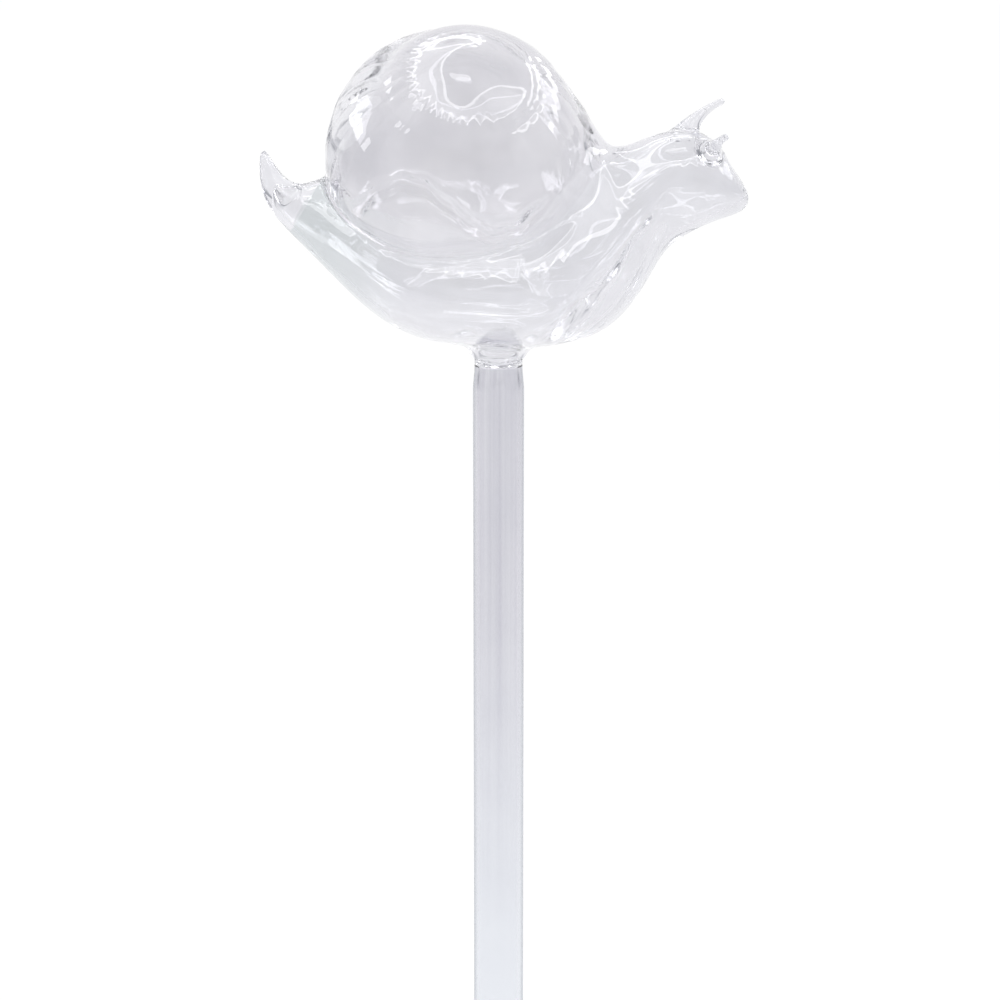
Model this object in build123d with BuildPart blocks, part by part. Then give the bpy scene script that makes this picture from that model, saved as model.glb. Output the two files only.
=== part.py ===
"""Clear glass watering globe in the shape of a snail, on a long open stem.

The snail is a lampworked vessel. A shell bulb with a spiral suture and a boat-shaped body share one
cavity that holds the water. The horns and the tail are solid drawn glass, and the stem is plain
tubing, welded on under the foot. Water goes in and comes out at the stem's open lower end.

Frame: millimetres, origin at the centre of the stem's open lower end, +Z up the stem, +X to the head.
"""

import os
from dataclasses import dataclass
from math import asin, cos, pi, radians, sin

from build123d import *

# Stem tubing
STEM_OD = 12.0
STEM_WALL = 1.2
STEM_LENGTH = 188.6
STEM_SHOULDER = 6.0  # length drawn in at the weld
MOUTH_ROUND = 0.4  # fire-polished lip

# Weld between the stem and the foot
WELD_HEIGHT = 1.8
WAIST_OD = 11.2  # the weld is a slight waist, thinner than the tubing
WELD_BORE = 6.4  # glass that ran inwards narrows the way through
BEAD_ROUND = 0.7

# Collar under the foot
COLLAR_HEIGHT = 3.3
COLLAR_FLARE = 4.0  # radius of the sweep into the keel
COLLAR_BORE = 8.4

# Blown walls
BODY_WALL = 1.4
SHELL_WALL = 1.5

# Shell bulb
SHELL_RADIUS = 31.0
SHELL_X = -8.8
SHELL_HEIGHT = 43.3  # centre above the keel
SPIRE_TILT = 38.0  # degrees from upright, towards the snail's right side
SPIRE_LEAN = 3.0  # degrees from upright, towards the head

# Suture, the spiral valley between the whorls
SUTURE_SHARE = 0.474  # distance from the spire on the head side, one turn in, as a share of the radius
SUTURE_GROWTH = 1.72  # growth of that distance in one turn
SUTURE_INWARD = 1.1  # turns from there to the inner end
SUTURE_OUTWARD = 1.2  # turns from there to the outer end
SUTURE_TOOL = 2.6  # radius of the round valley
SUTURE_DEPTH = 0.8
SUTURE_STEPS = 6  # arcs in one turn


@dataclass(frozen=True)
class Station:
    """One cross-section of the body, square to its spine."""

    x: float
    height: float  # of the spine above the keel
    pitch: float  # of the spine in degrees, nose up
    half_width: float
    rise: float  # from the spine to the back
    drop: float  # from the spine to the sole


TAIL_ROOT = Station(-45.0, 31.5, -30.0, 6.0, 8.5, 6.0)
# The sections stand closer together towards both ends, which keeps the skin between them even
BODY = [
    TAIL_ROOT,
    Station(-42.8, 30.2, -31.0, 7.6, 9.3, 6.8),
    Station(-39.0, 28.0, -32.0, 10.6, 11.0, 7.9),
    Station(-34.0, 25.0, -31.0, 14.4, 13.0, 9.4),
    Station(-26.6, 20.0, -28.0, 19.0, 15.0, 11.2),
    Station(-16.5, 16.8, -14.0, 23.8, 17.0, 14.6),
    Station(-4.5, 16.1, -3.0, 26.0, 18.0, 15.9),
    Station(8.0, 16.2, 4.0, 25.8, 18.5, 16.3),
    Station(20.0, 20.3, 20.0, 21.5, 21.0, 16.7),
    Station(28.5, 27.0, 32.0, 15.5, 17.4, 12.4),
    Station(35.4, 35.2, 32.0, 11.6, 11.6, 12.1),
    Station(43.2, 38.2, 17.0, 10.5, 11.3, 11.2),
    Station(49.4, 38.5, 4.0, 9.3, 9.8, 9.6),
    Station(52.4, 37.3, 3.0, 7.2, 7.4, 7.3),
    Station(54.7, 35.5, 8.0, 4.6, 4.2, 4.2),
]
NOSE = (56.9, 0.0, 34.6)
TAIL = [
    TAIL_ROOT,
    Station(-50.0, 35.0, -53.0, 4.0, 4.0, 4.0),
    Station(-52.9, 40.3, -76.0, 2.2, 2.1, 2.0),
]
TAIL_TIP = (-54.0, 0.0, 45.1)
TAIL_PLUG = 4.0  # solid glass between the cavity and the tail
NOSE_PLUG = 2.0

# Horns, each from its root in the head, past a bend, to its tip, as x, y and height above the keel
HORN_ROOT_RADIUS = 3.2
HORN_TIP_RADIUS = 0.8
FAR_HORN = [(41.5, 4.0, 45.0), (44.5, 5.0, 52.8), (51.4, 7.0, 55.4)]
NEAR_HORN = [(47.8, -2.6, 43.6), (49.6, -10.2, 48.8), (51.0, -15.5, 50.2)]
HORN_STEPS = 4

# Places that follow from the sizes above
STEM_BORE = STEM_OD - 2 * STEM_WALL
WELD_Z = STEM_LENGTH
COLLAR_Z = WELD_Z + WELD_HEIGHT
KEEL_Z = COLLAR_Z + COLLAR_HEIGHT
SHELL_CENTRE = Vector(SHELL_X, 0, KEEL_Z + SHELL_HEIGHT)
SPIRE = Vector(0, 0, 1).rotate(Axis.X, SPIRE_TILT).rotate(Axis.Y, SPIRE_LEAN)
HEADWARD = Vector(0, 1, 0).cross(SPIRE).normalized()
SPIRE_PLANE = Plane(SHELL_CENTRE, x_dir=HEADWARD, z_dir=SPIRE)


def above_keel(x, y, height):
    """A point given by its height above the keel, in the frame of the part."""
    return Vector(x, y, KEEL_Z + height)


def cross_plane(station):
    """The plane of a station, with its normal along the spine and its y axis to the back."""
    spine = Vector(cos(radians(station.pitch)), 0, sin(radians(station.pitch)))
    return Plane(above_keel(station.x, 0, station.height), x_dir=(0, 1, 0), z_dir=spine)


def section(station, inset=0.0):
    """The closed outline of a station, drawn in by inset."""
    with BuildSketch(cross_plane(station), mode=Mode.PRIVATE) as outline:
        with BuildLine():
            for quarter in range(4):
                reach = station.rise if quarter < 2 else station.drop
                EllipticalCenterArc((0, 0), station.half_width - inset, reach - inset, 90 * quarter, arc_size=90)
        make_face()
    return outline.sketch.face()


def horn(route, head):
    """A solid drawn horn along a bent route, seated on the head."""
    with BuildPart() as made:
        with BuildLine(mode=Mode.PRIVATE) as line:
            Bezier(*[above_keel(*point) for point in route])
        path = line.edge()
        rings = []
        for step in range(HORN_STEPS + 1):
            along = step / HORN_STEPS
            radius = HORN_ROOT_RADIUS + (HORN_TIP_RADIUS - HORN_ROOT_RADIUS) * along
            with BuildSketch(Plane(path ^ along), mode=Mode.PRIVATE) as ring:
                Circle(radius)
            rings.append(ring.sketch.face())
        loft(sections=rings)
        with Locations(path @ 1):
            Sphere(HORN_TIP_RADIUS)
        add(head, mode=Mode.SUBTRACT)
    return made


# Solids that the pieces are cut from
with BuildPart() as body_outside:
    loft(sections=[*[section(station) for station in BODY], Vertex(above_keel(*NOSE))])

with BuildPart() as body_cavity:
    back_end = Vertex(cross_plane(TAIL_ROOT).offset(TAIL_PLUG).origin)
    front_end = Vertex(above_keel(*NOSE) - Vector(NOSE_PLUG, 0, 0))
    loft(sections=[back_end, *[section(station, BODY_WALL) for station in BODY[2:-1]], front_end])

with BuildPart(SPIRE_PLANE) as shell_outside:
    Sphere(SHELL_RADIUS)

with BuildPart() as suture:
    turns = SUTURE_INWARD + SUTURE_OUTWARD
    lift = SUTURE_TOOL - SUTURE_DEPTH
    spiral = []
    for step in range(round(turns * SUTURE_STEPS) + 1):
        turn = step / SUTURE_STEPS - SUTURE_INWARD
        polar = asin(SUTURE_SHARE * SUTURE_GROWTH**turn)
        out = (SHELL_RADIUS + lift) * sin(polar)
        up = (SHELL_RADIUS + lift) * cos(polar)
        spiral.append(SPIRE_PLANE.from_local_coords((out * cos(2 * pi * turn), -out * sin(2 * pi * turn), up)))
    with BuildLine() as valley:
        arc = ThreePointArc(*spiral[:3])
        for corner in spiral[3:]:
            arc = TangentArc(arc @ 1, corner, tangent=arc % 1)
    with BuildSketch(Plane(valley.line ^ 0)):
        Circle(SUTURE_TOOL)
    sweep()

# Shell bulb: the blown spiral, open below into the body
with BuildPart() as shell_bulb:
    add(shell_outside.part)
    add(suture.part, mode=Mode.SUBTRACT)
    with Locations(SHELL_CENTRE):
        Sphere(SHELL_RADIUS - SHELL_WALL, mode=Mode.SUBTRACT)
    add(body_cavity.part, mode=Mode.SUBTRACT)

# Body: foot, neck and head, blown in one, with the collar under the foot
with BuildPart() as snail_body:
    add(body_outside.part)
    with BuildSketch(Plane.XZ):
        flare_r = WAIST_OD / 2 + COLLAR_FLARE
        flare_z = COLLAR_Z + COLLAR_FLARE
        with BuildLine():
            Polyline((WAIST_OD / 2, COLLAR_Z), (0, COLLAR_Z), (0, flare_z + BODY_WALL))
            Polyline((0, flare_z + BODY_WALL), (flare_r, flare_z + BODY_WALL), (flare_r, flare_z))
            RadiusArc((flare_r, flare_z), (WAIST_OD / 2, COLLAR_Z), -COLLAR_FLARE)
        make_face()
    revolve(axis=Axis.Z)
    add(shell_outside.part, mode=Mode.SUBTRACT)
    add(body_cavity.part, mode=Mode.SUBTRACT)
    with Locations((0, 0, COLLAR_Z)):
        Cylinder(
            COLLAR_BORE / 2,
            COLLAR_HEIGHT + SHELL_HEIGHT,
            align=(Align.CENTER, Align.CENTER, Align.MIN),
            mode=Mode.SUBTRACT,
        )

# Tail: a solid drawn tip that curls up from the back of the body
with BuildPart() as tail_tip:
    loft(sections=[*[section(station) for station in TAIL], Vertex(above_keel(*TAIL_TIP))])

# Horns
horn_far = horn(FAR_HORN, body_outside.part)
horn_near = horn(NEAR_HORN, body_outside.part)

# Weld ring between the collar and the stem
with BuildPart() as weld_ring:
    with BuildSketch(Plane.XZ):
        with BuildLine():
            Polyline(
                (STEM_BORE / 2, WELD_Z),
                (WAIST_OD / 2, WELD_Z),
                (WAIST_OD / 2, COLLAR_Z),
                (COLLAR_BORE / 2, COLLAR_Z),
                (WELD_BORE / 2, WELD_Z + WELD_HEIGHT / 2),
                close=True,
            )
        make_face()
        fillet(vertices().sort_by(Axis.X)[0], BEAD_ROUND)
    revolve(axis=Axis.Z)

# Stem: open tubing, drawn in at the weld, with a fire-polished mouth
with BuildPart() as stem_tube:
    with BuildSketch(Plane.XZ):
        with BuildLine():
            Polyline(
                (WAIST_OD / 2, STEM_LENGTH),
                (STEM_BORE / 2, STEM_LENGTH),
                (STEM_BORE / 2, 0),
                (STEM_OD / 2, 0),
                (STEM_OD / 2, STEM_LENGTH - STEM_SHOULDER),
            )
            TangentArc(
                (STEM_OD / 2, STEM_LENGTH - STEM_SHOULDER),
                (WAIST_OD / 2, STEM_LENGTH),
                tangent=(0, 1),
            )
        make_face()
    revolve(axis=Axis.Z)
    fillet(stem_tube.edges().group_by(Axis.Z)[0], MOUTH_ROUND)

PIECES = {
    "shell_bulb": shell_bulb,
    "snail_body": snail_body,
    "tail_tip": tail_tip,
    "horn_far": horn_far,
    "horn_near": horn_near,
    "weld_ring": weld_ring,
    "stem_tube": stem_tube,
}

os.makedirs("parts", exist_ok=True)
for name, piece in PIECES.items():
    piece.part.label = name
    export_step(piece.part, f"parts/{name}.step")
    print(name, len(piece.solids()), round(piece.part.volume, 1), piece.part.is_valid)
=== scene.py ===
"""Looks of a clear glass watering globe in the shape of a snail, on a long open stem.

The blown vessel is described once, as a smooth distance field in millimetres: a ribbed spiral shell
bulb, a boat-shaped body with head and tail, two drawn horns and a collar, all melted into each other.
The field is skinned outside and inside, cut along its seams into the named pieces, and set in place of
the solids of the frame. The weld ring and the stem are turned from their profiles.
"""

import logging
import math
from dataclasses import dataclass, field
from enum import Enum
from functools import partial
from typing import Any, Callable

import bpy
import numpy as np
from mathutils import Matrix, Vector


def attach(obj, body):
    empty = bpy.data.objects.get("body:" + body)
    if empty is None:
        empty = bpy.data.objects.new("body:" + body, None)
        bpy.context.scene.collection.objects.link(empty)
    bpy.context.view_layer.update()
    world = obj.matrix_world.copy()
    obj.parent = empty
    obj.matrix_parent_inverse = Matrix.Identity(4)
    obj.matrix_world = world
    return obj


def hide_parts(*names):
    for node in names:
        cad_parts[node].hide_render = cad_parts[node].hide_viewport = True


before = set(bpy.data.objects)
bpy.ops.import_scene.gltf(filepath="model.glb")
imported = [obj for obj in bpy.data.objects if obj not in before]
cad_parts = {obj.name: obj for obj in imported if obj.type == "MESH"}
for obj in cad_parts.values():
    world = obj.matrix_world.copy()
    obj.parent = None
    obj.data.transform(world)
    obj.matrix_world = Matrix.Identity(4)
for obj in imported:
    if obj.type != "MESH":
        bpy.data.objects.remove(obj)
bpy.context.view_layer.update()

logging.basicConfig(level=logging.INFO, format="%(message)s")
LOG = logging.getLogger("watering_globe")

MM = 0.001
Array = np.ndarray
Field = Callable[[Array], Array]


class Slot(Enum):
    """Material slots of the record."""

    BLOWN = "blown_glass"
    DRAWN = "drawn_glass"
    TUBING = "glass_tubing"


def linear(hex_colour: str) -> tuple[float, float, float, float]:
    """Turns an sRGB hex colour to linear light.

    Args:
        hex_colour: Six hex digits after a hash sign.

    Returns:
        Red, green, blue and an alpha of one.
    """
    parts = [int(hex_colour[i : i + 2], 16) / 255 for i in (1, 3, 5)]
    red, green, blue = [p / 12.92 if p <= 0.04045 else ((p + 0.055) / 1.055) ** 2.4 for p in parts]
    return red, green, blue, 1.0


def add_node(tree: bpy.types.NodeTree, kind: str, inputs: dict[Any, Any], **settings: Any) -> bpy.types.Node:
    """Adds a node, with its settings, input values and links.

    Args:
        tree: The node tree that gets the node.
        kind: The node's type name.
        inputs: Socket name or number to a value, or to the output socket that is linked in.
        settings: Attributes of the node.

    Returns:
        The new node.
    """
    node = tree.nodes.new(kind)
    for name, value in settings.items():
        setattr(node, name, value)
    for socket, value in inputs.items():
        if isinstance(value, bpy.types.NodeSocket):
            tree.links.new(value, node.inputs[socket])
        else:
            node.inputs[socket].default_value = value
    return node


def blank_tree(owner: bpy.types.Material | bpy.types.World) -> bpy.types.NodeTree:
    """Clears the nodes of a new material or world.

    Args:
        owner: The material or world.

    Returns:
        Its empty node tree.
    """
    owner.use_nodes = True
    owner.node_tree.nodes.clear()
    return owner.node_tree


@dataclass(frozen=True)
class GlassFinish:
    """Clear glass: see-through and mirror-smooth, with a faint grey-violet cast and soft drawn waves."""

    name: str
    tint: str
    deep_tint: str
    cloud_mm: tuple[float, float, float]
    cord_mm: tuple[float, float, float]
    cord_depth_mm: float
    cloud_band: tuple[float, float] = (0.35, 0.65)
    thick_glass_and_painted_light_tint: str = ""
    drift_axis: str = "X"
    drift_mm: tuple[float, float] = (0.0, 1.0)
    painted_edge_shade: str = ""
    painted_shade_facing: tuple[float, float] = (0.45, 0.78)
    ior: float = 1.474
    roughness: float = 0.0

    def make(self) -> bpy.types.Material:
        """Builds the material.

        Returns:
            A material whose tint drifts in clouds and whose surface carries faint cords.
        """
        material = bpy.data.materials.new(self.name)
        tree = blank_tree(material)
        node = partial(add_node, tree)
        place = node("ShaderNodeTexCoord", {}).outputs["Object"]
        noises = []
        for size_mm, detail in ((self.cloud_mm, 2.0), (self.cord_mm, 1.0)):
            scale = tuple(1 / (size * MM) for size in size_mm)
            spread = node("ShaderNodeMapping", {"Vector": place, "Scale": scale})
            noise = {"Vector": spread.outputs["Vector"], "Scale": 1.0, "Detail": detail}
            noises.append(node("ShaderNodeTexNoise", noise).outputs["Fac"])
        clouds, cords = noises
        layers = [(clouds, self.cloud_band, "LINEAR", self.deep_tint)]
        # Tint along one axis: the body's cast deepens where its glass thickens; on the tube it is painted
        # light, paler towards the foot
        if self.thick_glass_and_painted_light_tint:
            axes = node("ShaderNodeSeparateXYZ", {0: place})
            limits = tuple(limit * MM for limit in self.drift_mm)
            layers.append((axes.outputs[self.drift_axis], limits, "SMOOTHSTEP", self.thick_glass_and_painted_light_tint))
        # Painted shade: where set, the tint darkens where the surface is seen edge-on
        if self.painted_edge_shade:
            weight = node("ShaderNodeLayerWeight", {"Blend": 0.5})
            layers.append((weight.outputs["Facing"], self.painted_shade_facing, "SMOOTHSTEP", self.painted_edge_shade))
        tint: Any = linear(self.tint)
        for value, (start, end), curve, colour in layers:
            span = {"Value": value, "From Min": start, "From Max": end}
            share = node("ShaderNodeMapRange", span, interpolation_type=curve)
            mix = {0: share.outputs[0], 6: tint, 7: linear(colour)}
            tint = node("ShaderNodeMix", mix, data_type="RGBA").outputs[2]
        waves = {"Height": cords, "Strength": 1.0, "Distance": self.cord_depth_mm * MM}
        bump = node("ShaderNodeBump", waves)
        glass = {
            "Base Color": tint,
            "Normal": bump.outputs["Normal"],
            "Transmission Weight": 1.0,
            "IOR": self.ior,
            "Roughness": self.roughness,
        }
        shader = node("ShaderNodeBsdfPrincipled", glass)
        node("ShaderNodeOutputMaterial", {"Surface": shader.outputs["BSDF"]})
        return material


# Borosilicate blown in a ribbed mould: clear walls, with a faint grey-violet cast in the outer skin
BLOWN_SHELL = GlassFinish(
    "blown_borosilicate_shell", "#e4e3e8", "#d9d8de", (14.0, 14.0, 14.0), (7.0, 7.0, 7.0), 0.012
)
# The body's wall is thinner, so its cast is paler, and thickens to a grey-green towards the tail
BLOWN_BODY = GlassFinish(
    "blown_borosilicate_body",
    "#eaeaef",
    "#e0e0e5",
    (14.0, 14.0, 14.0),
    (7.0, 7.0, 7.0),
    0.012,
    thick_glass_and_painted_light_tint="#d5d9dc",
    drift_mm=(-18.0, -42.0),
)
# Solid borosilicate drawn out in the flame: the same cast, with finer cords
DRAWN_GLASS = GlassFinish(
    "drawn_borosilicate_glass", "#eeeef2", "#e7e7ec", (6.0, 6.0, 6.0), (3.0, 3.0, 6.0), 0.008
)
# Drawn borosilicate tubing: even walls with long draw lines, painted shade where one looks along the wall and
# painted light that pales it towards the foot
TUBE_GLASS = GlassFinish(
    "borosilicate_tubing",
    "#d9d9df",
    "#cbcad3",
    (1.3, 1.3, 160.0),
    (1.6, 1.6, 90.0),
    0.02,
    # Painted light: the tube's tint pales towards its foot
    thick_glass_and_painted_light_tint="#e6e9ef",
    drift_axis="Z",
    drift_mm=(150.0, 20.0),
    # Painted shade at the tube's edges, seen edge-on
    painted_edge_shade="#9398a2",
)
# The inner skin of the blown and drawn walls: water-white, with the slow waves that breath leaves in it
INNER_SKIN = GlassFinish(
    "inner_borosilicate_skin", "#ffffff", "#fafafb", (18.0, 18.0, 18.0), (9.0, 9.0, 9.0), 0.015
)


def sides_of(faces: Array) -> Array:
    """Pairs of points along the sides of each face, in order."""
    return np.stack([faces, np.roll(faces, -1, 1)], 2).reshape(-1, 2)


@dataclass
class Skin:
    """A triangle skin in millimetres."""

    points: Array
    faces: Array

    def used(self, faces: Array) -> "Skin":
        """Keeps some faces and only the points that they use.

        Args:
            faces: The faces to keep.

        Returns:
            A smaller skin.
        """
        kept, index = np.unique(faces, return_inverse=True)
        return Skin(self.points[kept], index.reshape(faces.shape))

    def finer(self, form: Field) -> "Skin":
        """Splits each face into four and sets the new points on a field's zero surface.

        Args:
            form: The field.

        Returns:
            A finer skin.
        """
        edges, index = np.unique(np.sort(sides_of(self.faces), 1), axis=0, return_inverse=True)
        points = np.concatenate([self.points, settle(form, self.points[edges].mean(1), 2, 0.3)])
        (a, b, c), (ab, bc, ca) = self.faces.T, index.reshape(-1, 3).T + len(self.points)
        corners = ((a, ab, ca), (ab, b, bc), (ca, bc, c), (ab, bc, ca))
        return Skin(points, np.concatenate([np.stack(corner, 1) for corner in corners]))

    def cut(self, level: Array) -> tuple["Skin", "Skin"]:
        """Cuts the skin along the line where a level is zero.

        Args:
            level: A number at each point.

        Returns:
            The part below zero and the part above.
        """
        above = level >= 0
        count = above[self.faces].sum(1)
        mixed = self.faces[(count == 1) | (count == 2)]
        flags = above[mixed]
        lone = np.where(flags.sum(1) == 1, flags.argmax(1), (~flags).argmax(1))
        rows = np.arange(len(mixed))
        a, b, c = (mixed[rows, (lone + k) % 3] for k in range(3))
        pairs = np.sort(np.concatenate([np.stack([a, b], 1), np.stack([a, c], 1)]), 1)
        edges, index = np.unique(pairs, axis=0, return_inverse=True)
        index = index.reshape(-1)
        low, high = level[edges[:, 0]], level[edges[:, 1]]
        share = (low / (low - high))[:, None]
        fresh = self.points[edges[:, 0]] * (1 - share) + self.points[edges[:, 1]] * share
        ab, ac = index[: len(a)] + len(self.points), index[len(a) :] + len(self.points)
        tips = np.stack([a, ab, ac], 1)
        rests = np.concatenate([np.stack([ab, b, c], 1), np.stack([ab, c, ac], 1)])
        tip_above = above[a]
        whole = Skin(np.concatenate([self.points, fresh]), self.faces)
        twice = np.concatenate([tip_above, tip_above])
        upper = np.concatenate([self.faces[count == 3], tips[tip_above], rests[~twice]])
        lower = np.concatenate([self.faces[count == 0], tips[~tip_above], rests[twice]])
        return whole.used(lower), whole.used(upper)


def gradient(form: Field, points: Array, step: float = 0.02) -> Array:
    """Finds which way a field rises.

    Args:
        form: The field.
        points: Where, in millimetres.
        step: Half the span of each difference.

    Returns:
        The slope at each point.
    """
    slope = np.empty_like(points)
    for axis in range(3):
        shift = np.zeros(3)
        shift[axis] = step
        slope[:, axis] = (form(points + shift) - form(points - shift)) / (2 * step)
    return slope


def settle(form: Field, points: Array, rounds: int, limit: float) -> Array:
    """Moves points onto a field's zero surface.

    Args:
        form: The field.
        points: The points, in millimetres.
        rounds: How many times they are moved.
        limit: The longest move in one round.

    Returns:
        The moved points.
    """
    for _ in range(rounds):
        slope = gradient(form, points)
        move = -(form(points) / np.maximum((slope**2).sum(1), 1e-6))[:, None] * slope
        length = np.linalg.norm(move, axis=1, keepdims=True)
        points = points + move * np.minimum(1.0, limit / np.maximum(length, 1e-9))
    return points


def melt(a: Array, b: Array, reach: float | Array) -> Array:
    """Joins two fields with a smooth fillet.

    Args:
        a: Values of the first field.
        b: Values of the second field.
        reach: How far apart the two still pull on each other.

    Returns:
        Values of the joined field.
    """
    near = np.maximum(reach - np.abs(a - b), 0.0) / reach
    return np.minimum(a, b) - near**3 * reach / 6


def ease(value: Array, start: float, end: float) -> Array:
    """A smooth step from nought at start to one at end."""
    share = np.clip((value - start) / (end - start), 0.0, 1.0)
    return share * share * (3 - 2 * share)


def within(value: Array, span: tuple[float, ...]) -> Array:
    """A smooth rise from nought to one and back, over the four places of a span."""
    start, full, fade, end = span
    return ease(value, start, full) * (1 - ease(value, fade, end))


def quad_net(form: Field, low: Array, high: Array, cell: float) -> tuple[Array, Array]:
    """Nets a field's zero surface with quads.

    Args:
        form: The field, below zero inside.
        low: Lowest corner of the grid.
        high: Highest corner of the grid.
        cell: Size of a grid cell.

    Returns:
        The points at the cells' centres and the quads between them.
    """
    axes = [np.arange(a, b + cell, cell) for a, b in zip(low, high)]
    grid = np.stack(np.meshgrid(*axes, indexing="ij"), -1)
    inside = (form(grid.reshape(-1, 3)) < 0).reshape(grid.shape[:3])
    halves = (slice(None, -1), slice(1, None))
    corners = [inside[i, j, k] for i in halves for j in halves for k in halves]
    count = np.sum(corners, axis=0)
    mixed = (count > 0) & (count < 8)
    index = np.full(mixed.shape, -1)
    index[mixed] = np.arange(mixed.sum())
    points = grid[:-1, :-1, :-1][mixed] + cell / 2
    quads = []
    for axis in range(3):
        nodes, cells = np.moveaxis(inside, axis, 0), np.moveaxis(index, axis, 0)
        start, end = nodes[:-1, 1:-1, 1:-1], nodes[1:, 1:-1, 1:-1]
        i, j, k = np.nonzero(start != end)
        ring = np.stack([cells[i, j, k], cells[i, j + 1, k], cells[i, j + 1, k + 1], cells[i, j, k + 1]], 1)
        turned = start[i, j, k] == (axis == 1)
        ring[turned] = ring[turned][:, ::-1]
        quads.append(ring)
    return points, np.concatenate(quads)


def quarter(points: Array, quads: Array, held: Array) -> tuple[Array, Array, Array]:
    """Splits each quad into four.

    Args:
        points: The points.
        quads: The quads.
        held: Which points lie on the lower edge.

    Returns:
        More points, four times the quads, and which of the points lie on the edge.
    """
    edges, index = np.unique(np.sort(sides_of(quads), 1), axis=0, return_inverse=True)
    middle = index.reshape(-1, 4) + len(points)
    centre = np.arange(len(quads)) + len(points) + len(edges)
    more = np.concatenate([points, points[edges].mean(1), points[quads].mean(1)])
    parts = [np.stack([quads[:, k], middle[:, k], centre, middle[:, k - 1]], 1) for k in range(4)]
    flags = np.concatenate([held, held[edges].all(1), np.zeros(len(quads), bool)])
    return more, np.concatenate(parts), flags


def relax(points: Array, quads: Array, held: Array) -> Array:
    """Evens out a net by moving each point half way to the mean of its neighbours.

    Args:
        points: The points.
        quads: The quads.
        held: Which points stay.

    Returns:
        The moved points.
    """
    ends = sides_of(quads)
    ends = np.concatenate([ends, ends[:, ::-1]])
    weight = np.bincount(ends[:, 0], minlength=len(points))
    columns = (points[ends[:, 1], axis] for axis in range(3))
    mean = np.stack([np.bincount(ends[:, 0], column, len(points)) for column in columns], 1)
    mean /= np.maximum(weight, 1)[:, None]
    free = ((weight > 0) & ~held)[:, None]
    return np.where(free, (points + mean) / 2, points)


def cubic(b: Array, ends: tuple[Array, Array], bends: tuple[Array, Array], gap: Any) -> Array:
    """Reads a cubic curve between two knots.

    Args:
        b: Share of the way from the first knot to the second.
        ends: Values at the two knots.
        bends: Second slopes at the two knots.
        gap: Distance between the knots.

    Returns:
        The values.
    """
    a = 1 - b
    bend = (a**3 - a) * bends[0] + (b**3 - b) * bends[1]
    return a * ends[0] + b * ends[1] + bend * gap**2 / 6


@dataclass
class Track:
    """Smooth curves through evenly spaced knots, one for each column."""

    start: float
    step: float
    knots: Array
    bends: Array = field(init=False)

    def __post_init__(self) -> None:
        """Works out the bend of each curve at its knots."""
        self.bends = natural_bends(np.arange(len(self.knots)) * self.step, self.knots)

    def at(self, place: Array, columns: slice = slice(None)) -> tuple[Array, Array]:
        """Reads the curves.

        Args:
            place: Distances along the track.
            columns: Which curves.

        Returns:
            The values and their slopes, one row for each place.
        """
        span = np.clip(((place - self.start) / self.step).astype(int), 0, len(self.knots) - 2)
        b = ((place - self.start) / self.step - span)[:, None]
        v0, v1 = self.knots[span, columns], self.knots[span + 1, columns]
        m0, m1 = self.bends[span, columns], self.bends[span + 1, columns]
        value = cubic(b, (v0, v1), (m0, m1), self.step)
        slope = (v1 - v0) / self.step + ((3 * b**2 - 1) * m1 - (3 * (1 - b) ** 2 - 1) * m0) * self.step / 6
        return value, slope


def natural_bends(knots: Array, values: Array) -> Array:
    """Second slopes of the natural cubic through some knots.

    Args:
        knots: Rising places of the knots.
        values: One row for each knot.

    Returns:
        The second slopes, in the shape of the values.
    """
    gap = np.diff(knots)
    system = np.eye(len(knots))
    right = np.zeros_like(values)
    for i in range(1, len(knots) - 1):
        system[i, i - 1 : i + 2] = gap[i - 1], 2 * (gap[i - 1] + gap[i]), gap[i]
        right[i] = 6 * ((values[i + 1] - values[i]) / gap[i] - (values[i] - values[i - 1]) / gap[i - 1])
    return np.linalg.solve(system, right)


@dataclass(frozen=True)
class Station:
    """One cross-section of the body, square to its spine, in millimetres above the keel."""

    x: float
    height: float
    pitch: float
    half_width: float
    rise: float
    drop: float


TAIL_ROOT = Station(-45.0, 31.5, -30.0, 6.0, 8.5, 6.0)


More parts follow.
